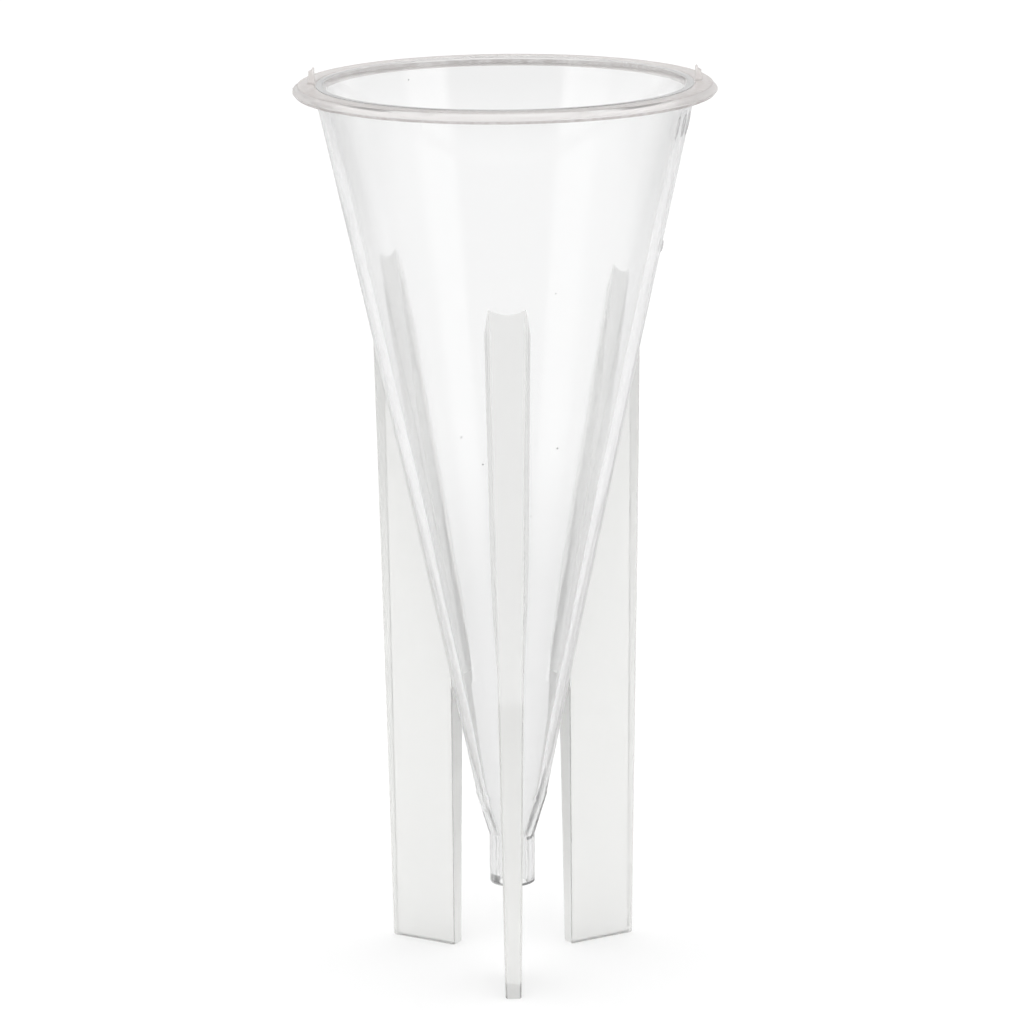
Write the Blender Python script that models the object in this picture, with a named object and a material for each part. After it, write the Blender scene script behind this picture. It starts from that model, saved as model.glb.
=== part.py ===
"""A small clear funnel that stands on three fin legs, in metres, with +Z up.

The origin is on the ground, on the funnel's axis. The front leg points along -Y, and the two rear
legs stand 120 degrees either side of it. The funnel is one moulding, drawn here as the eight parts a
person would name, with a narrow seam between neighbours.
"""

import math

import bmesh
import bpy

SEAM = 0.0003  # gap between neighbouring parts
SEGMENTS = 96  # facets round a turned part

# Heights
MOUTH_Z = 0.1422  # top face of the rim ring
THROAT_TOP_Z = 0.0275  # where the cone turns steeper towards the spout
THROAT_FOOT_Z = 0.0206  # bottom of the cone wall
SPOUT_END_Z = 0.0125  # open end of the spout

# Cone wall
MOUTH_RADIUS = 0.0303  # outside of the wall, carried up to the mouth
THROAT_RADIUS = 0.00575  # outside of the wall at the top of the throat
WALL_SAG = 0.0006  # how far the wall's middle hangs inside a straight line
WALL_AT_MOUTH = 0.0020
WALL_AT_THROAT = 0.0016
WALL_STEPS = 12
NECK_BEVEL = 0.0002  # drop of the mouth's inner edge

# Spout tube
SPOUT_RADIUS = 0.00365
SPOUT_END_RADIUS = 0.0036
BORE_RADIUS = 0.0022
SPOUT_BEVEL = 0.0003

# Rim ring
RING_BORE = 0.0294
RING_TOP_RADIUS = 0.03215
RING_RADIUS = 0.0330  # widest place, low on the flared side
RING_FOOT_RADIUS = 0.0325
RING_FLARE = 0.00103  # from the top face down to the widest place
RING_HEIGHT = 0.00163
RING_RECESS = 0.0003  # depth of the step under the ring that takes the wall's shoulder

# Fin legs
LEG_TOP_Z = 0.1115  # above the highest point that the cone leaves of a leg
LEG_OUTER_FOOT = 0.02195  # distance of the outer edge from the axis, at the ground
LEG_OUTER_TOP = 0.02325
LEG_INNER_FOOT = 0.0104
LEG_INNER_TOP = 0.0093
LEG_THICK_FOOT = 0.00255
LEG_THICK_TOP = 0.0058
LEG_TURN = math.radians(120)

# Stubs on the rim ring
STUB_REACH = 0.02995  # distance of a stub's middle from the axis
STUB_WIDTH = 0.0011
STUB_DEPTH = 0.0009
STUB_TAPER = 0.85  # width at the tip, as a share of the width at the base


def between(low, high, share):
    """The value a share of the way from low to high."""
    return low + (high - low) * share


def wall_outside(height):
    """Outer radius of the cone wall: a straight throat, then a cone that hangs slightly inwards."""
    if height <= THROAT_TOP_Z:
        share = (height - THROAT_FOOT_Z) / (THROAT_TOP_Z - THROAT_FOOT_Z)
        return between(SPOUT_RADIUS, THROAT_RADIUS, share)
    share = (height - THROAT_TOP_Z) / (MOUTH_Z - THROAT_TOP_Z)
    return between(THROAT_RADIUS, MOUTH_RADIUS, share) - 4 * WALL_SAG * share * (1 - share)


def wall_inside(height):
    """Inner radius of the cone wall, which ends at the spout's bore."""
    share = (height - THROAT_TOP_Z) / (MOUTH_Z - THROAT_TOP_Z)
    if share >= 0:
        return wall_outside(height) - between(WALL_AT_THROAT, WALL_AT_MOUTH, share)
    share = (height - THROAT_FOOT_Z) / (THROAT_TOP_Z - THROAT_FOOT_Z)
    return between(BORE_RADIUS, THROAT_RADIUS - WALL_AT_THROAT, share)


def heights(low, high, steps):
    """Evenly spaced heights from low to high, both included."""
    return [between(low, high, i / steps) for i in range(steps + 1)]


def material(name, color, roughness):
    """A Principled material for one part."""
    made = bpy.data.materials.new(name)
    made.use_nodes = True
    shader = made.node_tree.nodes["Principled BSDF"]
    shader.inputs["Base Color"].default_value = (*color, 1.0)
    shader.inputs["Roughness"].default_value = roughness
    shader.inputs["Metallic"].default_value = 0.0
    made.diffuse_color = (*color, 1.0)
    return made


def add_object(name, shape, finish):
    """Puts a finished bmesh in the scene as a named object under the funnel's empty."""
    mesh = bpy.data.meshes.new(name)
    bmesh.ops.recalc_face_normals(shape, faces=shape.faces)
    shape.to_mesh(mesh)
    shape.free()
    mesh.shade_smooth()
    mesh.set_sharp_from_angle(angle=math.radians(25))
    mesh.materials.append(finish)
    obj = bpy.data.objects.new(name, mesh)
    bpy.context.collection.objects.link(obj)
    obj.parent = bpy.data.objects["funnel"]
    return obj


def turned(outline):
    """A solid made by turning a closed outline of (radius, height) points about the axis."""
    shape = bmesh.new()
    corners = [shape.verts.new((radius, 0.0, height)) for radius, height in outline]
    ends = zip(corners, corners[1:] + corners[:1])
    edges = [shape.edges.new(pair) for pair in ends if any(corner.co.x > 0 for corner in pair)]
    bmesh.ops.spin(
        shape,
        geom=corners + edges,
        cent=(0, 0, 0),
        axis=(0, 0, 1),
        angle=math.tau,
        steps=SEGMENTS,
        use_merge=True,
    )
    bmesh.ops.remove_doubles(shape, verts=shape.verts, dist=1e-7)
    return shape


def make_cone_wall(finish):
    """The wall from the throat to the mouth, with a neck at the top that the rim ring fits round."""
    shoulder_z = MOUTH_Z - RING_HEIGHT + RING_RECESS - SEAM
    neck_radius = RING_BORE - SEAM
    throat = heights(THROAT_FOOT_Z, THROAT_TOP_Z, 2)[:-1]
    outside = [(wall_outside(z), z) for z in throat + heights(THROAT_TOP_Z, shoulder_z, WALL_STEPS)]
    neck = [(neck_radius, shoulder_z), (neck_radius, MOUTH_Z)]
    lip_z = MOUTH_Z - NECK_BEVEL
    inside = [(wall_inside(z), z) for z in throat + heights(THROAT_TOP_Z, lip_z, WALL_STEPS)]
    return add_object("cone_wall", turned(outside + neck + inside[::-1]), finish)


def make_spout_tube(finish):
    """The straight tube under the throat, with its open end's outer edge bevelled."""
    top_z = THROAT_FOOT_Z - SEAM
    outline = [
        (BORE_RADIUS, SPOUT_END_Z),
        (SPOUT_END_RADIUS - SPOUT_BEVEL, SPOUT_END_Z),
        (SPOUT_END_RADIUS, SPOUT_END_Z + SPOUT_BEVEL),
        (SPOUT_RADIUS, top_z),
        (BORE_RADIUS, top_z),
    ]
    return add_object("spout_tube", turned(outline), finish)


def make_rim_ring(finish):
    """The ring round the mouth, whose outer side flares towards its foot, with a step for the shoulder."""
    foot_z = MOUTH_Z - RING_HEIGHT
    recess_radius = wall_outside(foot_z) + SEAM
    outline = [
        (RING_BORE, foot_z + RING_RECESS),
        (recess_radius, foot_z + RING_RECESS),
        (recess_radius, foot_z),
        (RING_FOOT_RADIUS, foot_z),
        (RING_RADIUS, MOUTH_Z - RING_FLARE),
        (RING_TOP_RADIUS, MOUTH_Z),
        (RING_BORE, MOUTH_Z),
    ]
    return add_object("rim_ring", turned(outline), finish)


def make_wall_cutter(finish):
    """A solid cone one seam outside the wall, which shapes the legs' inner edges."""
    low_z = THROAT_FOOT_Z
    sloped = [(wall_outside(z) + SEAM, z) for z in heights(low_z, MOUTH_Z, 2 * WALL_STEPS)]
    cutter = add_object("wall_cutter", turned([(0.0, low_z), *sloped, (0.0, MOUTH_Z)]), finish)
    cutter.hide_render = True
    cutter.display_type = "WIRE"
    return cutter


def make_leg(name, turn, cutter, finish):
    """An upright fin, thicker and deeper towards its top, cut to the cone. It points along -Y at turn 0."""
    corners = [
        (LEG_INNER_FOOT, 0.0, LEG_THICK_FOOT),
        (LEG_OUTER_FOOT, 0.0, LEG_THICK_FOOT),
        (LEG_OUTER_TOP, LEG_TOP_Z, LEG_THICK_TOP),
        (LEG_INNER_TOP, LEG_TOP_Z, LEG_THICK_TOP),
    ]
    shape = bmesh.new()
    sides = []
    for side in (-0.5, 0.5):
        sides.append([shape.verts.new((side * thick, -reach, z)) for reach, z, thick in corners])
        shape.faces.new(sides[-1])
    for i in range(len(corners)):
        after = (i + 1) % len(corners)
        shape.faces.new((sides[0][i], sides[0][after], sides[1][after], sides[1][i]))
    leg = add_object(name, shape, finish)
    leg.rotation_euler.z = turn
    cut = leg.modifiers.new("follow_cone", "BOOLEAN")
    cut.operation = "DIFFERENCE"
    cut.solver = "EXACT"
    cut.object = cutter
    return leg


def make_stub(name, side, tip_heights, finish):
    """A small tapered stub on the rim ring, with a sloping broken tip. side is -1 for left, 1 for right."""
    base_z = MOUTH_Z + SEAM
    shape = bmesh.new()
    base, tip = [], []
    for across, along in ((-0.5, -0.5), (0.5, -0.5), (0.5, 0.5), (-0.5, 0.5)):
        x, y = across * STUB_WIDTH, along * STUB_DEPTH
        tip_z = MOUTH_Z + tip_heights[0 if across < 0 else 1]
        base.append(shape.verts.new((x, y, base_z)))
        tip.append(shape.verts.new((x * STUB_TAPER, y * STUB_TAPER, tip_z)))
    shape.faces.new(base)
    shape.faces.new(tip)
    for i in range(len(base)):
        after = (i + 1) % len(base)
        shape.faces.new((base[i], base[after], tip[after], tip[i]))
    stub = add_object(name, shape, finish)
    stub.location.x = side * STUB_REACH
    return stub


def build():
    """Clears the scene and makes every part."""
    for obj in list(bpy.data.objects):
        bpy.data.objects.remove(obj)
    funnel = bpy.data.objects.new("funnel", None)
    bpy.context.collection.objects.link(funnel)

    make_cone_wall(material("clear_wall", (0.90, 0.91, 0.91), 0.12))
    make_spout_tube(material("clear_spout", (0.86, 0.87, 0.87), 0.15))
    make_rim_ring(material("milky_ring", (0.80, 0.79, 0.78), 0.30))
    cutter = make_wall_cutter(material("guide", (0.5, 0.5, 0.5), 0.5))
    for name, turn in (
        ("leg_front", 0.0),
        ("leg_rear_left", -LEG_TURN),
        ("leg_rear_right", LEG_TURN),
    ):
        make_leg(name, turn, cutter, material("milky_" + name, (0.86, 0.86, 0.86), 0.35))
    make_stub("rim_stub_left", -1, (0.0020, 0.0025), material("stub_left", (0.78, 0.77, 0.76), 0.4))
    make_stub("rim_stub_right", 1, (0.0024, 0.0017), material("stub_right", (0.78, 0.77, 0.76), 0.4))


build()
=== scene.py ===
"""Looks for a small clear funnel on three fin legs: a fine mesh for every moulded part, clear and
milky plastic, a white studio and the camera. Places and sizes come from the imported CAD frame, in metres."""

import functools
import math

import bmesh
import bpy
import numpy as np
from mathutils import Euler, Matrix, Vector, noise


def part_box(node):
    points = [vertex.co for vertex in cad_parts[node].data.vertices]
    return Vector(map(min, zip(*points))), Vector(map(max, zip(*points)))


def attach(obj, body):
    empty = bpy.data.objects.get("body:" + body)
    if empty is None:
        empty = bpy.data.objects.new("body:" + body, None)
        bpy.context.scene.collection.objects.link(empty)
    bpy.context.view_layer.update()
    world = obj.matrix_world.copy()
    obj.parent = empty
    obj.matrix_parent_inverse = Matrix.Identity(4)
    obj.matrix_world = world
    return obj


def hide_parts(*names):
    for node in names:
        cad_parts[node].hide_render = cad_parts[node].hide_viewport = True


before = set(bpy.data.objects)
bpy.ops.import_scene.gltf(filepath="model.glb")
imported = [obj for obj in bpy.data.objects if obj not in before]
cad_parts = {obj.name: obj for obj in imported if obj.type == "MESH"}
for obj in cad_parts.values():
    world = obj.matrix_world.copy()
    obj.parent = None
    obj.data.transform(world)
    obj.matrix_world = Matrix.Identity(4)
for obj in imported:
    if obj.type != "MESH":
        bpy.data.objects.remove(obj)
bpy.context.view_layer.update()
BODY = "root"
MM = 0.001

# ------------------------------------------------------------------ finish of the moulding

LOOSE = 0.02 * MM  # air drawn between two parts that the real moulding joins
SEGMENTS = 288  # steps round a turned part
WALL_ROWS = 72
SPOUT_STEP = 0.05 * MM
RIPPLE = 0.02 * MM  # unevenness of the clear wall's inner side
SINK = 0.05 * MM  # depth of the hollows inside the wall behind the legs
RING_UNEVEN = 0.04 * MM
FLASHES = {176: 0.22 * MM, 113: 0.18 * MM}  # how far the flash stands out, at these degrees round the rim
FLASH_WIDTH = 0.008  # in radians
ROOT_FILLET = 0.7 * MM  # where a leg flows into the cone
EDGE_ROUND = 0.28 * MM  # free edges of the legs
WEB_DROP = 5 * MM  # under the knee; a thin web closes the sharp corner of leg and cone from there up
WEB_ROUND = 1.2 * MM  # height over which the web grows to its full width
FACE_STEPS = 12  # across a leg's outer and inner faces
SIDE_STEPS = 18  # from a leg's root to its outer edge
SMOOTH_ANGLE = math.radians(40)  # edges sharper than this stay sharp

MARKS = ("joined", "side", "matte", "painted_shade")  # kept on each face for the materials, from 0 to 1; the last is the share of painted shade
RIM_SHADE = {"top": 0.2, "lip": 0.38}  # share of painted shade on the stretches of an outline that carry these tags: it darkens the rim's top and lip
# painted shade on a leg's sole, the shadow where it stands on the floor
SOLE_SHADE = 0.9
# darkness of the painted shade on the throat and the spout
THROAT_AND_SPOUT_SHADE = 0.75
STROKE_SHADE = 0.2  # painted shade on the raised strokes beside the rim, which draws them dark
OUTER_MATTE = 0.8  # of a leg's outer face; its inner face has 1
END_HAZE = 0.92  # share of light that a fully matte face scatters
SPECK_CELLS = 260.0  # cells per metre, each of which can hold one speck of dust
SPECK_RADIUS = 0.045  # in cells
SPECKLESS = 0.86  # share of the cells that hold none
LOW_HAZE = 0.07  # what the lower half of the clear wall scatters on top of the rest
LOW_HAZE_FADE = (85 * MM, 60 * MM)  # heights between which it comes in
# grey of the dust specks, and of the painted shade on the clear wall and the legs
GREY_DUST_AND_SHADE = (0.09, 0.09, 0.09)
# brown of the dust specks, and of the painted shade on the rim
BROWN_DUST_AND_SHADE = (0.14, 0.10, 0.08)
MATTE_WHITE = (0.99, 0.99, 0.98, 1.0)
DEPTH_TINT = (0.47, 0.49, 0.50, 1.0)  # of light that comes through the plastic's depth

# ------------------------------------------------------------------ studio and camera

CAMERA_DISTANCE = 0.694
CAMERA_HEIGHT = 0.2425
CAMERA_PITCH = math.radians(13.671)  # looking down
CAMERA_ROLL = math.radians(-0.545)
CAMERA_LENS = 158.47
CAMERA_SHIFT = 0.0029
FLOOR_SIZE = 12.0
FLOOR_GLOW = 0.43
GLOW_FADE = (1.5, 2.3)  # distances from the funnel between which the glow fades to 0.3 of itself
STRIP_HALF = 0.26  # half the width of the bright strip of floor that the plastic shows
STRIP_DARK = 0.32  # how dark the floor's sides are when seen through or in the plastic
STRIP_END = (0.78, 0.95)  # distances ahead between which the strip dims by STRIP_END_DARK
STRIP_END_DARK = 0.1
TENT_LIGHT = 1.3
# What the opening, the two flags and the far side each take from the tent's light. Each fades between two
# values of how far a direction points to the camera's right, ahead of it or up.
OPENING_DIM = 0.95
OPENING_SIDE, OPENING_BACK = (0.57, 0.63), (-0.1, -0.3)
LEFT_FLAG_DIM = 0.42
LEFT_FLAG_EDGE = (-0.90, -0.95)
RIGHT_FLAG_DIM = 0.7
RIGHT_FLAG_EDGE = (0.88, 0.93)
FLAG_TOP = (0.5, 0.3)
BACK_DIM = 0.45
BACK_EDGE, BACK_TOP = (0.35, 0.55), (0.45, 0.3)
MATTE_EVENING = 0.92  # share of that dimming which light on matte plastic doesn't have
SOFT_BOXES = {"soft_left": ((-0.8, -0.5, 0.7), 0.5), "soft_right": ((0.8, -0.5, 0.7), 0.4)}  # place, watts
SOFT_BOX_SIDE = 0.6
SOFT_BOX_AIM = (0, 0, 0.07)

LEG_TURNS = {
    "leg_front": 0.0,
    "leg_rear_left": math.radians(-120),
    "leg_rear_right": math.radians(120),
}
LEG_BENDS = {"leg_front": 1.0, "leg_rear_left": -0.4, "leg_rear_right": 1.0}  # 1 ends at the CAD's height


# ------------------------------------------------------------------ small maths


def mix(low, high, share):
    return low + (high - low) * share


def smooth(share):
    """0 to 1 with a soft start and end."""
    share = min(1.0, max(0.0, share))
    return share * share * (3 - 2 * share)


def line(start, end):
    """The straight line through two (height, value) points, as a function of height."""
    return lambda z: mix(start[1], end[1], (z - start[0]) / (end[0] - start[0]))


def spaced(low, high, steps):
    return [mix(low, high, i / steps) for i in range(steps + 1)]


# ------------------------------------------------------------------ measures read from the frame


def side_points(node, outward):
    """(height, distance from the axis) down a turned CAD node's outer or inner side, lowest first."""
    found = {}
    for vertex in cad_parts[node].data.vertices:
        reach = math.hypot(vertex.co.x, vertex.co.y)
        away = (vertex.normal.x * vertex.co.x + vertex.normal.y * vertex.co.y) / reach
        if abs(away) > 0.3 and (away > 0) == outward:
            found[round(vertex.co.z, 5)] = reach
    return sorted(found.items())


def wall_curve(points):
    """Radius by height along one side of the wall: a straight throat under a smooth cone."""
    slopes = [(b[1] - a[1]) / (b[0] - a[0]) for a, b in zip(points, points[1:])]
    changes = [abs(b - a) for a, b in zip(slopes, slopes[1:])]
    bend = changes.index(max(changes)) + 1
    throat = line(points[0], points[bend])
    heights, radii = zip(*points[bend:])
    cone = np.poly1d(np.polyfit(heights, radii, 2))
    return lambda z: throat(z) if z < points[bend][0] else float(cone(z))


MOUTH_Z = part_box("rim_ring")[1].z
RING_FOOT_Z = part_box("rim_ring")[0].z
RING_OUTER = side_points("rim_ring", True)
RING_BORE = min(reach for _, reach in side_points("rim_ring", False))
WALL_OUTER = [point for point in side_points("cone_wall", True) if point[0] <= RING_FOOT_Z + LOOSE]
WALL_INNER = side_points("cone_wall", False)
THROAT_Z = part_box("cone_wall")[0].z
SPOUT_END_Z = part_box("spout_tube")[0].z
SPOUT_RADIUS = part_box("spout_tube")[1].x
BORE_RADIUS = min(reach for _, reach in side_points("spout_tube", False))
wall_outside = wall_curve(WALL_OUTER)
wall_inside = wall_curve(WALL_INNER[:-1])


class Leg:
    """The front leg's edges, read from its CAD node. Reach is distance from the axis, along -Y."""

    points = [vertex.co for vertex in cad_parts["leg_front"].data.vertices]
    foot = [co for co in points if co.z < LOOSE]
    knee = max(points, key=lambda co: co.y)
    ear = max(points, key=lambda co: co.z)
    outer_line = staticmethod(line((0.0, -min(co.y for co in foot)), (ear.z, -ear.y)))
    inner = staticmethod(line((0.0, -max(co.y for co in foot)), (knee.z, -knee.y)))
    half = staticmethod(line((0.0, max(co.x for co in foot)), (ear.z, abs(ear.x))))

    bend = outer_line(ear.z) - math.sqrt(wall_outside(ear.z) ** 2 - ear.x**2)

    @classmethod
    def outer(cls, z, bent):
        """The outer face. With bent 1 it leans in at its top, and meets the wall at the CAD's height."""
        return cls.outer_line(z) - bent * cls.bend * (z / cls.ear.z) ** 4


# ------------------------------------------------------------------ mesh tools


def finished(name, shape, *nodes, slot):
    """Turns a bmesh into a smooth piece that rides on the funnel and stands for its CAD nodes."""
    bmesh.ops.remove_doubles(shape, verts=shape.verts, dist=1e-7)
    bmesh.ops.recalc_face_normals(shape, faces=shape.faces)
    mesh = bpy.data.meshes.new(name)
    shape.to_mesh(mesh)
    shape.free()
    mesh.shade_smooth()
    mesh.set_sharp_from_angle(angle=SMOOTH_ANGLE)
    piece = bpy.data.objects.new(name, mesh)
    bpy.context.scene.collection.objects.link(piece)
    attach(piece, BODY)
    if nodes:
        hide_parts(*nodes)
    return piece


def plain(row, step):
    """No marks on this face."""
    return (0.0,) * len(MARKS)


def shaded(row, step):
    """A little painted shade on this face, and no other mark."""
    return 0.0, 0.0, 0.0, STROKE_SHADE


def loft(shape, loops, tags=plain):
    """Joins closed loops of points into a tube. tags(row, step) gives a face's MARKS."""
    layers = shape.faces.layers.float
    marks = [layers.get(name) or layers.new(name) for name in MARKS]
    rows = [[shape.verts.new(point) for point in loop] for loop in loops]
    for row, (low, high) in enumerate(zip(rows, rows[1:])):
        for step in range(len(low)):
            after = (step + 1) % len(low)
            face = shape.faces.new((low[step], low[after], high[after], high[step]))
            for mark, value in zip(marks, tags(row, step)):
                face[mark] = value
    return rows


def rounded(corners, steps=6):
    """An outline whose corners are eased. A corner is (radius, height, ease, tag); the tag marks the
    stretch that starts there. Returns (radius, height, tag) points."""
    outline = []
    for i, (radius, height, ease, tag) in enumerate(corners):
        corner = Vector((radius, height))
        before = Vector(corners[i - 1][:2]) - corner
        after = Vector(corners[(i + 1) % len(corners)][:2]) - corner
        reach = min(ease, 0.45 * before.length, 0.45 * after.length)
        if reach <= 0:
            outline.append((radius, height, tag))
            continue
        start, end = corner + before.normalized() * reach, corner + after.normalized() * reach
        for step in range(steps + 1):
            u = step / steps
            point = start * (1 - u) ** 2 + corner * 2 * u * (1 - u) + end * u**2
            outline.append((point.x, point.y, tag))
    return outline


def turned(name, outline, *nodes, slot, shift=None, shade_at=None):
    """Turns a closed outline about the axis. shift(angle, height, tag) moves a point outwards, and the shade
    function, given (degrees, height, tag), is the share of painted shade there. Angles start at +X and run
    towards +Y."""
    shape = bmesh.new()
    loops = []
    for radius, height, tag in outline:
        loop = []
        for step in range(SEGMENTS):
            angle = math.tau * step / SEGMENTS
            reach = radius + (shift(angle, height, tag) if shift else 0.0)
            loop.append((reach * math.cos(angle), reach * math.sin(angle), height))
        loops.append(loop)
    loops.append(loops[0])

    def tags(row, step):
        _, height, tag = outline[row]
        # the share of painted shade on this face, from its tag and from the shade function
        painted_shade = RIM_SHADE.get(tag, 0.0)
        if shade_at:
            painted_shade = max(painted_shade, shade_at(math.degrees(math.tau * step / SEGMENTS), height, tag))
        return float(tag == "joined"), float(tag == "side"), 0.0, painted_shade

    loft(shape, loops, tags)
    return finished(name, shape, *nodes, slot=slot)


def grain(angle, height, round_scale, height_scale, seed):
    """Smooth noise from -1 to 1 that closes up round the axis."""
    place = (math.cos(angle) * round_scale, math.sin(angle) * round_scale, height * height_scale + seed)
    return noise.noise(Vector(place))


def around(angle, middle, width):
    """A soft bump round one angle, 1 at its middle."""
    off = (angle - middle + math.pi) % math.tau - math.pi
    return math.exp(-((off / width) ** 2))


# ------------------------------------------------------------------ the turned parts


def wall_shift(angle, height, tag):
    """Flow marks on the wall's inner side, and shallow sinks behind the three thick legs."""
    if tag != "inside":
        return 0.0
    broad = grain(angle, height, round_scale=2.5, height_scale=60, seed=3)
    fine = grain(angle, height, round_scale=9, height_scale=160, seed=7)
    moved = RIPPLE * (broad + 0.4 * fine)
    if Leg.knee.z < height < Leg.ear.z:
        width = Leg.half(height) * 1.1 / wall_outside(height)
        for turn in LEG_TURNS.values():
            moved += SINK * around(angle, turn - math.pi / 2, width)
    return moved * smooth((height - THROAT_Z) / (20 * MM))


def signed(degrees):
    """The same turn between -180 and 180 degrees; the front is at -90."""
    return (degrees + 180) % 360 - 180


def throat_shade(degrees, height, tag):
    """Painted shade on the throat: a dark wedge down its right side and a thin dark line on its left."""
    share = (height - THROAT_Z) / (11 * MM)
    turn = signed(degrees)
    right = mix(-34, -12, share) < turn < -11
    left = share < 0.35 and -169 < turn < -161
    return THROAT_AND_SPOUT_SHADE if tag == "side" and share < 1 and (right or left) else 0.0


def spout_shade(degrees, height, tag):
    """Painted shade on the spout: dark flecks under its joint, a dark patch and a thin dark arc round its
    end.
    """
    turn = signed(degrees)
    up, down = height - SPOUT_END_Z, THROAT_Z - height
    fleck = down < 0.7 * MM and -68 < turn < -18 and grain(math.radians(degrees), height, 6, 900, 5) > 0
    patch = 0.2 * MM < up < 1.5 * MM and -161 < turn < -123
    arc = up < 0.35 * MM and -70 < turn < -8
    return THROAT_AND_SPOUT_SHADE if tag == "outside" and (fleck or patch or arc) else 0.0


def make_cone_wall():
    """The clear wall: throat, cone and the neck inside the rim ring."""
    low, shoulder = THROAT_Z, RING_FOOT_Z - LOOSE
    neck = RING_BORE - LOOSE
    heights = spaced(low, low + 18 * MM, 45) + spaced(low + 18 * MM, shoulder, WALL_ROWS)[1:]
    corners = [(wall_outside(z), z, 0, "side") for z in heights]
    corners[-1] = (*corners[-1][:3], "joined")
    corners += [
        (neck, shoulder, 0, "joined"),
        (neck, MOUTH_Z - 0.08 * MM, 0.05 * MM, "neck"),
        (neck - 0.12 * MM, MOUTH_Z, 0.05 * MM, "neck"),
        (wall_inside(MOUTH_Z), MOUTH_Z, 0.12 * MM, "inside"),
    ]
    inner_top = MOUTH_Z - 0.3 * MM
    corners += [(wall_inside(z), z, 0, "inside") for z in reversed(spaced(low, inner_top, WALL_ROWS))]
    corners[-1] = (*corners[-1][:3], "joined")
    outline = rounded(corners)
    # the throat carries painted shade
    looks = {"slot": "clear_wall", "shift": wall_shift, "shade_at": throat_shade}
    return turned("cone_wall_clear", outline, "cone_wall", **looks)


def make_spout():
    """The spout tube, a hair narrower at its end, where the mould closes."""
    top, end = THROAT_Z - LOOSE, SPOUT_END_Z
    corners = [(BORE_RADIUS, top, 0, "inside"), (BORE_RADIUS, end, 0.35 * MM, "end")]
    corners += [(SPOUT_RADIUS - SPOUT_STEP, end, 0.25 * MM, "outside")]
    for z in spaced(end + 0.4 * MM, top, 32):
        narrower = SPOUT_STEP * (1 - smooth((z - end - 1.6 * MM) / (0.8 * MM)))
        corners.append((SPOUT_RADIUS - narrower, z, 0, "outside"))
    corners[-1] = (*corners[-1][:3], "joined")
    # the spout carries painted shade
    looks = {"slot": "clear_wall", "shade_at": spout_shade}
    return turned("spout_tube_clear", rounded(corners), "spout_tube", **looks)


def ring_shift(angle, height, tag):
    """Slight unevenness of the thick ring, and the flash left at two places on its edge."""
    if tag == "joined":
        return 0.0
    moved = RING_UNEVEN * grain(angle, height, round_scale=3, height_scale=200, seed=11)
    if tag == "outer":
        for degrees, size in FLASHES.items():
            moved += size * around(angle, math.radians(degrees), FLASH_WIDTH)
    return moved


def make_rim_ring():
    """The thick milky ring, with eased edges and a fine parting line at its widest place."""
    (foot_z, foot_radius), *_, (widest_z, widest), (top_z, top_radius) = RING_OUTER
    bore, underside = RING_BORE, wall_outside(RING_FOOT_Z) + LOOSE
    corners = [
        (bore, RING_FOOT_Z, 0, "joined"),
        (underside, RING_FOOT_Z, 0, "bottom"),
        (foot_radius, foot_z, 0.12 * MM, "lip"),
        (widest, widest_z, 0.16 * MM, "outer"),
        (mix(widest, top_radius, 0.55), mix(widest_z, top_z, 0.5), 0.2 * MM, "outer"),
        (top_radius, top_z, 0.18 * MM, "top"),
        (bore + 0.2 * MM, top_z, 0.08 * MM, "top"),
        (bore, top_z - 0.1 * MM, 0.06 * MM, "joined"),
    ]
    return turned("rim_ring_milky", rounded(corners), "rim_ring", slot="milky_rim", shift=ring_shift)


# ------------------------------------------------------------------ the legs


@functools.lru_cache
def top_of(share, bent):
    """Height where a leg's outer face runs into the cone, at a share of the way from middle to side."""
    low, high = Leg.knee.z, Leg.ear.z + 4 * MM
    for _ in range(50):
        z = (low + high) / 2
        if wall_outside(z) + LOOSE < math.hypot(Leg.outer(z, bent), share * Leg.half(z)):
            low = z
        else:
            high = z
    return low


WEB_Z = Leg.knee.z - WEB_DROP


def leg_heights(top):
    """Heights of a leg's rows: close at the foot's rounding, round the web and near the top."""
    foot = [EDGE_ROUND * (1 - math.cos(math.pi / 2 * i / 5)) for i in range(6)]
    low = spaced(EDGE_ROUND, WEB_Z, 24)[1:]
    knee = spaced(WEB_Z, WEB_Z + WEB_ROUND, 12)[1:]
    high = spaced(WEB_Z + WEB_ROUND, top - 4 * MM, 36)[1:]
    last = [top - 4 * MM * (1 - math.sin(math.pi / 2 * i / 14)) for i in range(1, 15)]
    return foot + low + knee + high + last


def eased(distance, radius):
    """How far a quarter-round edge of this radius stands back at a distance from its start."""
    if radius <= 0:
        return 0.0
    left = max(0.0, radius - distance)
    return radius - math.sqrt(radius**2 - left**2)


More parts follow.
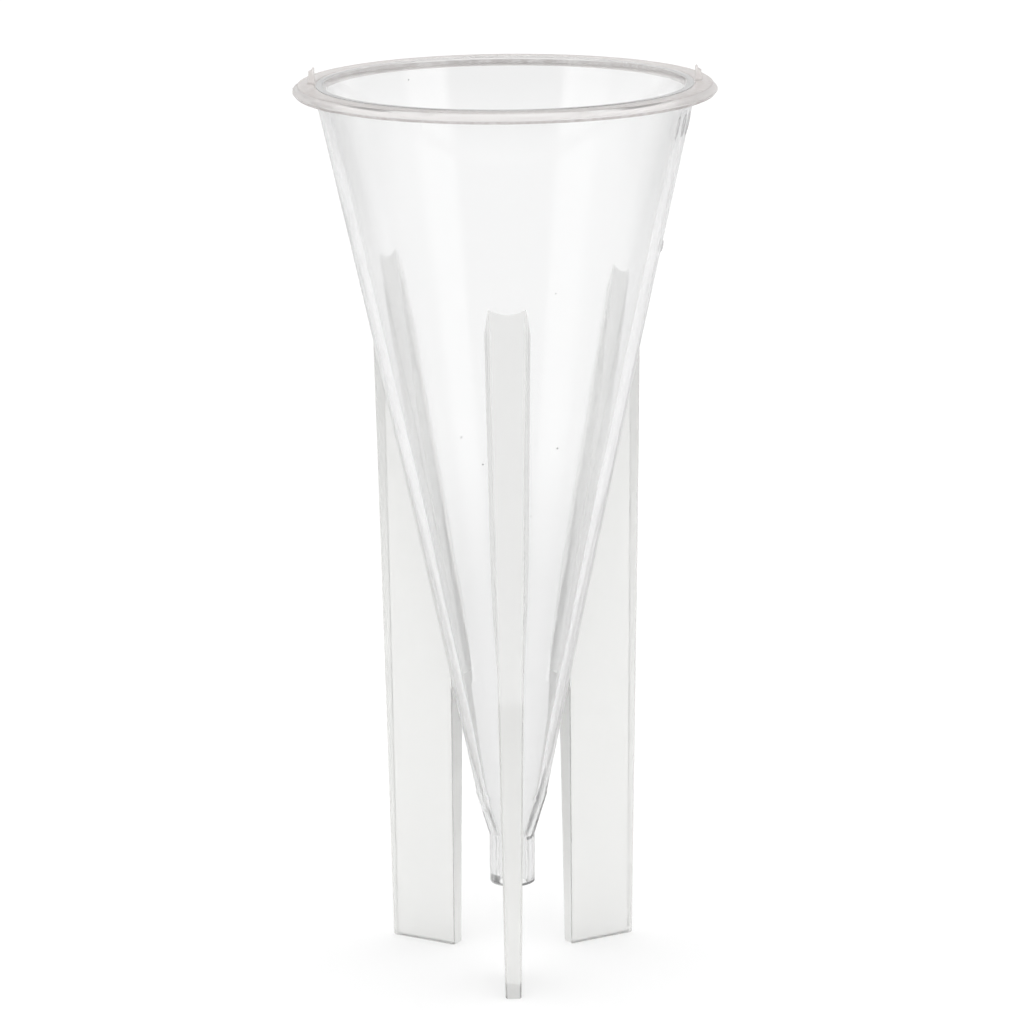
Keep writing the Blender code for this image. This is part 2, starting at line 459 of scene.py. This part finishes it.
def leg_point(x_of, share, row_z, bent):
    """One point of a leg's row. share runs from the root, 0, to the outer edge, 1."""
    top = top_of(0.0, bent)
    lift = smooth((row_z - top + 12 * MM) / (12 * MM))
    z = row_z + lift * (top_of(abs(x_of), bent) - top)
    inset = eased(row_z, EDGE_ROUND)
    half = Leg.half(z) - inset
    outer = Leg.outer(z, bent) - inset
    round_cone = wall_outside(z) + LOOSE
    on_cone = smooth((row_z - WEB_Z) / WEB_ROUND)

    def root(x):
        on_wall = math.sqrt(max(0.0, round_cone**2 - x**2))
        return min(outer, mix(Leg.inner(z) + inset, max(Leg.inner(z), on_wall), on_cone))

    width = max(0.0, outer - root(x_of * half))
    easing = min(EDGE_ROUND, 0.4 * width)
    fillet = min(ROOT_FILLET, 0.8 * width) * smooth((row_z - WEB_Z) / (25 * MM))
    off_root = share * width
    spread = mix(-eased(off_root, easing), eased(off_root, fillet), on_cone)
    corner = eased(width - off_root, easing)
    x = x_of * (half + spread - corner)
    dish = 0.05 * MM * math.sin(math.pi * share) * smooth(width / (6 * MM)) * abs(x_of)
    x -= math.copysign(dish, x_of)
    return x, -mix(root(x), outer, share), z


def leg_loop(row_z, bent):
    """The closed outline of a leg at one row: root, right side, outer face, left side."""
    across = spaced(-1.0, 1.0, FACE_STEPS)
    out = [0.5 * (1 - math.cos(math.pi * i / SIDE_STEPS)) for i in range(SIDE_STEPS + 1)]
    loop = [leg_point(x, 0.0, row_z, bent) for x in across]
    loop += [leg_point(1.0, share, row_z, bent) for share in out[1:]]
    loop += [leg_point(x, 1.0, row_z, bent) for x in reversed(across[:-1])]
    loop += [leg_point(-1.0, share, row_z, bent) for share in reversed(out[1:-1])]
    return loop


def make_leg(node, turn):
    """One fin leg, filleted into the cone, with rounded free edges."""
    bent = LEG_BENDS[node]
    heights = leg_heights(top_of(0.0, bent))
    spin = Matrix.Rotation(turn, 3, "Z")
    loops = [[spin @ Vector(point) for point in leg_loop(z, bent)] for z in heights]
    shape = bmesh.new()

    def tags(row, step):
        inner = step < FACE_STEPS
        outer = 0 <= step - FACE_STEPS - SIDE_STEPS < FACE_STEPS
        joined = inner and heights[row] > WEB_Z + WEB_ROUND
        return float(joined), 0.0, inner + OUTER_MATTE * outer, 0.0

    rows = loft(shape, loops, tags)
    # the sole is darkened with painted shadow, where the leg stands on the floor
    sole = shape.faces.new(rows[0])
    sole[shape.faces.layers.float["painted_shade"]] = SOLE_SHADE
    bmesh.ops.triangulate(shape, faces=[sole])
    return finished(node + "_milky", shape, node, slot="milky_legs")


# ------------------------------------------------------------------ small parts on the rim and wall


STUB_SIDES = 28
STUB_ROWS = 16


def stub_loop(node, share, seed):
    """One loop of a stub, at a share of the way from the rim to its uneven tip."""
    low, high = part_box(node)
    middle, half = (low + high) / 2, (high - low) / 2
    points = [vertex.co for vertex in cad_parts[node].data.vertices]
    left_tip = max(co.z for co in points if co.x < middle.x)
    right_tip = max(co.z for co in points if co.x > middle.x)
    flare = 1 + 0.45 * math.exp(-share * 9) - 0.15 * share
    loop = []
    for step in range(STUB_SIDES):
        angle = math.tau * step / STUB_SIDES
        across, along = math.cos(angle), math.sin(angle)
        square = 1 / max(abs(across), abs(along)) ** 0.75
        across, along = across * square, along * square
        rough = noise.noise(Vector((across * 2, along * 2, share * 3 + seed)))
        tip = mix(left_tip, right_tip, smooth(across * 0.9 + 0.5))
        tip += 0.12 * MM * noise.noise(Vector((across * 2.5, along * 2.5, seed * 3)))
        swell = flare * (1 + 0.07 * rough)
        x, y = middle.x + half.x * across * swell, middle.y + half.y * along * swell
        loop.append((x, y, mix(MOUTH_Z - 0.01 * MM, tip, share)))
    return loop


def make_stub(node, seed):
    """The stub of a gate: a small tapered blade that flares at its root and broke off unevenly."""
    loops = [stub_loop(node, row / STUB_ROWS, seed) for row in range(STUB_ROWS + 1)]
    tip = [Vector(point) for point in loops[-1]]
    centre = sum(tip, Vector()) / STUB_SIDES
    loops += [[tuple(centre.lerp(point, inset)) for point in tip] for inset in (0.6, 0.2)]
    shape = bmesh.new()
    made = loft(shape, loops)
    shape.faces.new(made[0])
    shape.faces.new(made[-1])
    return finished(node + "_milky", shape, node, slot="milky_rim")


MARK_RISE = 0.22 * MM
MARK_ROWS = 5
MARK_SIDES = 40


def mark_loop(turn, height, tall, wide, rise):
    """One loop of a raised stroke on the wall, at a share of its rise."""
    shrink = math.sqrt(1 - rise**2 * 0.9)
    loop = []
    for step in range(MARK_SIDES):
        angle = math.tau * step / MARK_SIDES
        up = math.copysign(abs(math.sin(angle)) ** 0.4, math.sin(angle)) * shrink
        along = math.copysign(abs(math.cos(angle)) ** 0.4, math.cos(angle)) * shrink
        z = height + up * tall / 2
        reach = wall_outside(z) + LOOSE + MARK_RISE * rise
        spin = math.radians(turn) + along * wide / 2 / reach
        loop.append((reach * math.cos(spin), reach * math.sin(spin), z))
    return loop


def make_volume_marks():
    """Short raised strokes beside the rim, as a plain stand-in for a moulded volume scale."""
    strokes = [(turn, MOUTH_Z - 5.8 * MM, 3.6 * MM, 0.55 * MM) for turn in (-23, -17, -11)]
    strokes += [(-6, MOUTH_Z - 25.5 * MM, 1.8 * MM, 0.6 * MM)]
    shape = bmesh.new()
    for stroke in strokes:
        loops = [mark_loop(*stroke, row / MARK_ROWS) for row in range(MARK_ROWS + 1)]
        # the strokes carry a little painted shade
        made = loft(shape, loops, shaded)
        shape.faces.new(made[0])
        shape.faces.new(made[-1])
    return finished("volume_marks", shape, slot="clear_wall")


# ------------------------------------------------------------------ materials


class Graph:
    """A material's or world's nodes, with short calls to add and join them."""

    def __init__(self, tree):
        self.tree = tree
        tree.nodes.clear()

    def add(self, kind, settings=None, **inputs):
        """Adds a node. Inputs are named with _ for a space, and take a value or a socket to join."""
        node = self.tree.nodes.new(kind)
        for name, value in (settings or {}).items():
            setattr(node, name, value)
        for name, value in inputs.items():
            self.put(node.inputs[name.replace("_", " ")], value)
        return node

    def put(self, socket, value):
        if isinstance(value, bpy.types.NodeSocket):
            self.tree.links.new(value, socket)
        else:
            socket.default_value = value

    def math(self, operation, *values):
        node = self.tree.nodes.new("ShaderNodeMath")
        node.operation = operation
        for socket, value in zip(node.inputs, values):
            self.put(socket, value)
        return node.outputs[0]

    def noise(self, place, scale, detail=2.0, rough=0.5):
        node = self.add("ShaderNodeTexNoise", Vector=place, Scale=scale, Detail=detail, Roughness=rough)
        return node.outputs["Fac"]

    def range(self, value, low, high, to_low=0.0, to_high=1.0):
        """Value carried from one range to another, held at both ends."""
        node = self.tree.nodes.new("ShaderNodeMapRange")
        for socket, given in zip(node.inputs, (value, low, high, to_low, to_high)):
            self.put(socket, given)
        return node.outputs[0]

    def vector(self, operation, first, second, output="Value"):
        node = self.tree.nodes.new("ShaderNodeVectorMath")
        node.operation = operation
        self.put(node.inputs[0], first)
        self.put(node.inputs[1], second)
        return node.outputs[output]

    def from_camera(self, place):
        """How far a place or a direction lies to the camera's right and ahead of it, both level."""
        spaces = {"convert_from": "CAMERA", "convert_to": "WORLD"}
        right = self.add("ShaderNodeVectorTransform", spaces, Vector=(1.0, 0.0, 0.0)).outputs[0]
        ahead = self.vector("CROSS_PRODUCT", (0.0, 0.0, 1.0), right, "Vector")
        return self.vector("DOT_PRODUCT", place, right), self.vector("DOT_PRODUCT", place, ahead)

    def stretched(self, scale):
        """Object coordinates scaled by axis."""
        place = self.add("ShaderNodeTexCoord").outputs["Object"]
        node = self.add("ShaderNodeMapping", Vector=place, Scale=scale)
        return node.outputs["Vector"]


def marked(graph, name):
    """One of the MARKS, as it lies on the faces."""
    return graph.add("ShaderNodeAttribute", {"attribute_name": name}).outputs["Fac"]


def specks(graph):
    """1 on sparse tiny dust specks, 0 elsewhere."""
    place = graph.stretched((1, 1, 1))
    cells = graph.add("ShaderNodeTexVoronoi", {"feature": "F1"}, Vector=place, Scale=SPECK_CELLS)
    near = graph.math("LESS_THAN", cells.outputs["Distance"], SPECK_RADIUS)
    draw = graph.add("ShaderNodeSeparateColor", Color=cells.outputs["Color"])
    return graph.math("MULTIPLY", near, graph.math("GREATER_THAN", draw.outputs[0], SPECKLESS))


def under_leg(graph):
    """1 where the wall's outer side is joined to a leg: close to one of three planes, 120 degrees apart,
    and no further out than the leg's outer face."""
    place = graph.add("ShaderNodeSeparateXYZ", Vector=graph.add("ShaderNodeTexCoord").outputs["Object"])
    x, y, z = (place.outputs[axis] for axis in "XYZ")
    angle = graph.math("ARCTAN2", x, graph.math("MULTIPLY", y, -1.0))
    folded = graph.math("WRAP", angle, math.radians(60), math.radians(-60))
    reach = graph.math("SQRT", graph.math("ADD", graph.math("MULTIPLY", x, x), graph.math("MULTIPLY", y, y)))
    aside = graph.math("ABSOLUTE", graph.math("MULTIPLY", reach, graph.math("SINE", folded)))
    half = graph.range(z, 0.0, Leg.ear.z, Leg.half(0.0), Leg.half(Leg.ear.z))
    near = graph.math("LESS_THAN", aside, graph.math("ADD", half, 0.3 * ROOT_FILLET))
    above = graph.math("GREATER_THAN", z, WEB_Z + WEB_ROUND)
    along = graph.math("MULTIPLY", reach, graph.math("COSINE", folded))
    left = graph.math("LESS_THAN", angle, math.radians(-60))
    ends = (Leg.bend * LEG_BENDS["leg_front"], Leg.bend * LEG_BENDS["leg_rear_left"])
    bend = graph.range(left, 0.0, 1.0, *ends)
    bent = graph.math("MULTIPLY", graph.math("POWER", graph.math("DIVIDE", z, Leg.ear.z), 4.0), bend)
    straight = graph.range(z, 0.0, 2 * Leg.ear.z, Leg.outer_line(0.0), Leg.outer_line(2 * Leg.ear.z))
    below = graph.math("LESS_THAN", along, graph.math("SUBTRACT", straight, bent))
    beside = graph.math("MULTIPLY", near, marked(graph, "side"))
    return graph.math("MULTIPLY", beside, graph.math("MULTIPLY", above, below))


def low_haze(graph):
    """The haze that the lower half of the clear wall has on top of the rest."""
    place = graph.add("ShaderNodeSeparateXYZ", Vector=graph.add("ShaderNodeTexCoord").outputs["Object"])
    return graph.range(place.outputs["Z"], *LOW_HAZE_FADE, 0.0, LOW_HAZE)


def mixed(graph, share, first, second):
    """Two shaders mixed; share is the second's part."""
    node = graph.add("ShaderNodeMixShader", Fac=share)
    graph.tree.links.new(first, node.inputs[1])
    graph.tree.links.new(second, node.inputs[2])
    return node.outputs[0]


def clear_shader(graph, tint, rough, flow, bump):
    """Glossy clear plastic, whose roughness follows its flow marks."""
    clear = graph.add("ShaderNodeBsdfPrincipled", Normal=bump)
    graph.put(clear.inputs["Base Color"], (*tint, 1.0))
    graph.put(clear.inputs["IOR"], 1.49)
    graph.put(clear.inputs["Transmission Weight"], 1.0)
    graph.put(clear.inputs["Roughness"], graph.range(flow, 0.3, 0.7, rough * 0.6, rough * 1.4))
    return clear.outputs[0]


def milk_shader(graph, milk_tint, bump):
    """What the plastic's haze scatters, half of it back and half of it through. Matte faces are whiter."""
    tints = {"Color1": (*milk_tint, 1.0), "Color2": MATTE_WHITE}
    white = graph.add("ShaderNodeMixRGB", Fac=marked(graph, "matte"), **tints).outputs["Color"]
    back = graph.add("ShaderNodeBsdfDiffuse", Color=white, Normal=bump)
    through = graph.add("ShaderNodeBsdfTranslucent", Color=white, Normal=bump)
    return mixed(graph, 0.5, back.outputs[0], through.outputs[0])


def haze_share(graph, haze, edge_haze, wall):
    """The share of light that a face scatters."""
    slant = graph.add("ShaderNodeLayerWeight", Blend=0.5).outputs["Facing"]
    share = graph.math("MULTIPLY_ADD", graph.math("POWER", slant, 3.0), edge_haze, haze)
    if wall:
        share = graph.math("ADD", share, low_haze(graph))
    return graph.math("MAXIMUM", share, graph.math("MULTIPLY", marked(graph, "matte"), END_HAZE))


def dust_and_shade_share(graph):
    """Dust specks, and the blotchy painted shade on the faces that carry it."""
    spots = graph.noise(graph.stretched((1400, 1400, 900)), 1.0, 2.0, 0.6)
    mottled_shade = graph.math("MULTIPLY", marked(graph, "painted_shade"), graph.range(spots, 0.35, 0.6, 0.45, 1.0))
    return graph.math("MAXIMUM", graph.math("MULTIPLY", specks(graph), 0.5), mottled_shade)


def plastic(name, tint, milk_tint, dust_and_shade_tint, haze, edge_haze, rough, flow_depth, dim, wall=False):
    """Clear moulded plastic. haze is the share of light that each surface scatters, and edge_haze what a
    slanting look adds. flow_depth is the height of its flow marks. dim is the density, per metre, of what
    takes light away inside it. wall adds what only the clear wall has: low haze, and windows to the legs."""
    made = bpy.data.materials.new(name)
    made.use_nodes = True
    graph = Graph(made.node_tree)
    flow = graph.noise(graph.stretched((220, 220, 90)), 1.0, 2.0, 0.5)
    bump = graph.add("ShaderNodeBump", Strength=1.0, Distance=flow_depth, Height=flow).outputs["Normal"]
    clear = clear_shader(graph, tint, rough, flow, bump)
    milk = milk_shader(graph, milk_tint, bump)
    # this diffuse draws the dust specks, and also the painted shade marked on the faces
    dust_and_shade = graph.add("ShaderNodeBsdfDiffuse", Color=(*dust_and_shade_tint, 1.0)).outputs[0]
    body = mixed(graph, haze_share(graph, haze, edge_haze, wall), clear, milk)
    body = mixed(graph, dust_and_shade_share(graph), body, dust_and_shade)
    joined = marked(graph, "joined")
    if wall:
        joined = graph.math("MAXIMUM", joined, under_leg(graph))
    surface = mixed(graph, joined, body, graph.add("ShaderNodeBsdfTransparent").outputs[0])
    volume = graph.add("ShaderNodeVolumeAbsorption", Color=DEPTH_TINT, Density=dim)
    end = graph.add("ShaderNodeOutputMaterial")
    graph.tree.links.new(surface, end.inputs["Surface"])
    graph.tree.links.new(volume.outputs[0], end.inputs["Volume"])
    return made


# ------------------------------------------------------------------ studio


def floor_material():
    """A glowing white table. Seen through or in the plastic it is a strip along the camera's look with dim
    sides, which draws the edges."""
    made = bpy.data.materials.new("floor_white")
    made.use_nodes = True
    graph = Graph(made.node_tree)
    place = graph.add("ShaderNodeTexCoord").outputs["Object"]
    away = graph.add("ShaderNodeVectorMath", {"operation": "LENGTH"}, Vector=place).outputs["Value"]
    strength = graph.range(away, *GLOW_FADE, FLOOR_GLOW, 0.3 * FLOOR_GLOW)
    glow = graph.add("ShaderNodeEmission", Color=(1.0, 1.0, 1.0, 1.0), Strength=strength)
    table = graph.add("ShaderNodeBsdfDiffuse", Color=(0.5, 0.5, 0.5, 1.0))
    lit = graph.add("ShaderNodeAddShader")
    graph.tree.links.new(table.outputs[0], lit.inputs[0])
    graph.tree.links.new(glow.outputs[0], lit.inputs[1])
    right, ahead = graph.from_camera(place)
    sides = graph.range(graph.math("ABSOLUTE", right), STRIP_HALF, 1.15 * STRIP_HALF, 0.0, STRIP_DARK)
    dim = graph.math("MAXIMUM", sides, graph.range(ahead, *STRIP_END, 0.0, STRIP_END_DARK))
    ray = graph.add("ShaderNodeLightPath").outputs
    bent = graph.math("MAXIMUM", ray["Is Glossy Ray"], ray["Is Transmission Ray"])
    black = graph.add("ShaderNodeEmission", Strength=0.0).outputs[0]
    end = graph.add("ShaderNodeOutputMaterial")
    seen = mixed(graph, graph.math("MULTIPLY", bent, dim), lit.outputs[0], black)
    graph.tree.links.new(seen, end.inputs["Surface"])
    return made


def make_floor():
    """A plain white light table that fills the view, so that shadows stay faint."""
    mesh = bpy.data.meshes.new("floor")
    half = FLOOR_SIZE / 2
    corners = [(-half, -half, 0), (half, -half, 0), (half, half, 0), (-half, half, 0)]
    mesh.from_pydata(corners, [], [(0, 1, 2, 3)])
    mesh.materials.append(floor_material())
    floor = bpy.data.objects.new("floor", mesh)
    floor.location.z = -0.05 * MM
    bpy.context.scene.collection.objects.link(floor)


def make_world():
    """A white light tent that turns with the camera: a dim opening round the camera, flags at both sides
    and a dimmer far side. Light that lands on matte plastic is more even than what is seen in the clear."""
    world = bpy.data.worlds.new("tent")
    bpy.context.scene.world = world
    world.use_nodes = True
    graph = Graph(world.node_tree)
    way = graph.add("ShaderNodeTexCoord").outputs["Generated"]
    up = graph.add("ShaderNodeSeparateXYZ", Vector=way).outputs["Z"]
    right, ahead = graph.from_camera(way)
    near_axis = graph.range(graph.math("ABSOLUTE", right), *OPENING_SIDE, OPENING_DIM, 0.0)
    opening = graph.math("MULTIPLY", near_axis, graph.range(ahead, *OPENING_BACK))
    left_flag = graph.range(right, *LEFT_FLAG_EDGE, 0.0, LEFT_FLAG_DIM)
    right_flag = graph.range(right, *RIGHT_FLAG_EDGE, 0.0, RIGHT_FLAG_DIM)
    flags = graph.math("MULTIPLY", graph.math("ADD", left_flag, right_flag), graph.range(up, *FLAG_TOP))
    far = graph.range(ahead, *BACK_EDGE, 0.0, BACK_DIM)
    back = graph.math("MULTIPLY", far, graph.range(up, *BACK_TOP))
    dimmed = graph.math("ADD", graph.math("ADD", opening, flags), back)
    scattered = graph.add("ShaderNodeLightPath").outputs["Is Diffuse Ray"]
    evened = graph.math("MULTIPLY_ADD", scattered, -MATTE_EVENING, 1.0)
    light = graph.math("SUBTRACT", TENT_LIGHT, graph.math("MULTIPLY", dimmed, evened))
    sky = graph.add("ShaderNodeBackground", Color=(1.0, 1.0, 1.0, 1.0), Strength=light)
    end = graph.add("ShaderNodeOutputWorld")
    graph.tree.links.new(sky.outputs[0], end.inputs["Surface"])


def make_lights():
    """Two soft boxes, left and right of the camera."""
    for name, (place, power) in SOFT_BOXES.items():
        data = bpy.data.lights.new(name, "AREA")
        data.shape, data.size, data.energy = "SQUARE", SOFT_BOX_SIDE, power
        lamp = bpy.data.objects.new(name, data)
        lamp.location = place
        lamp.rotation_mode = "QUATERNION"
        look = Vector(SOFT_BOX_AIM) - lamp.location
        lamp.rotation_quaternion = look.to_track_quat("-Z", "Y")
        bpy.context.scene.collection.objects.link(lamp)


def make_camera():
    data = bpy.data.cameras.new("camera")
    data.lens, data.sensor_width, data.shift_x = CAMERA_LENS, 36.0, CAMERA_SHIFT
    data.clip_start, data.clip_end = 0.01, 50.0
    camera = bpy.data.objects.new("camera", data)
    tilt = Euler((math.pi / 2 - CAMERA_PITCH, 0, 0)).to_matrix()
    turn = (tilt @ Matrix.Rotation(CAMERA_ROLL, 3, "Z")).to_4x4()
    camera.matrix_world = Matrix.Translation((0, -CAMERA_DISTANCE, CAMERA_HEIGHT)) @ turn
    bpy.context.scene.collection.objects.link(camera)
    bpy.context.scene.camera = camera


def set_light_paths():
    """Light has to pass many clear walls, and colours stay as lit."""
    scene = bpy.context.scene
    scene.cycles.max_bounces = 32
    scene.cycles.transmission_bounces = 28
    scene.cycles.transparent_max_bounces = 48
    scene.cycles.sample_clamp_indirect = 4.0
    scene.view_settings.view_transform = "Standard"


# ------------------------------------------------------------------ build


def dress(piece, finish):
    piece.data.materials.append(finish)


clear = plastic(
    "clear_plastic",
    tint=(0.975, 0.975, 0.975),
    milk_tint=(0.86, 0.86, 0.86),
    dust_and_shade_tint=GREY_DUST_AND_SHADE,
    haze=0.015,
    edge_haze=0.5,
    rough=0.06,
    flow_depth=0.01 * MM,
    dim=18,
    wall=True,
)
milky = plastic(
    "milky_plastic",
    tint=(0.945, 0.945, 0.937),
    milk_tint=(0.875, 0.875, 0.863),
    dust_and_shade_tint=GREY_DUST_AND_SHADE,
    haze=0.33,
    edge_haze=0.0,
    rough=0.06,
    flow_depth=0.006 * MM,
    dim=2,
)
rim = plastic(
    "milky_rim_plastic",
    tint=(0.98, 0.965, 0.955),
    milk_tint=(0.93, 0.90, 0.89),
    dust_and_shade_tint=BROWN_DUST_AND_SHADE,
    haze=0.38,
    edge_haze=0.0,
    rough=0.12,
    flow_depth=0.02 * MM,
    dim=8,
)

dress(make_cone_wall(), clear)
dress(make_spout(), clear)
dress(make_volume_marks(), clear)
dress(make_rim_ring(), rim)
dress(make_stub("rim_stub_left", 2.3), rim)
dress(make_stub("rim_stub_right", 6.1), rim)
for leg_name, leg_turn in LEG_TURNS.items():
    dress(make_leg(leg_name, leg_turn), milky)

make_floor()
make_world()
make_lights()
make_camera()
set_light_paths()
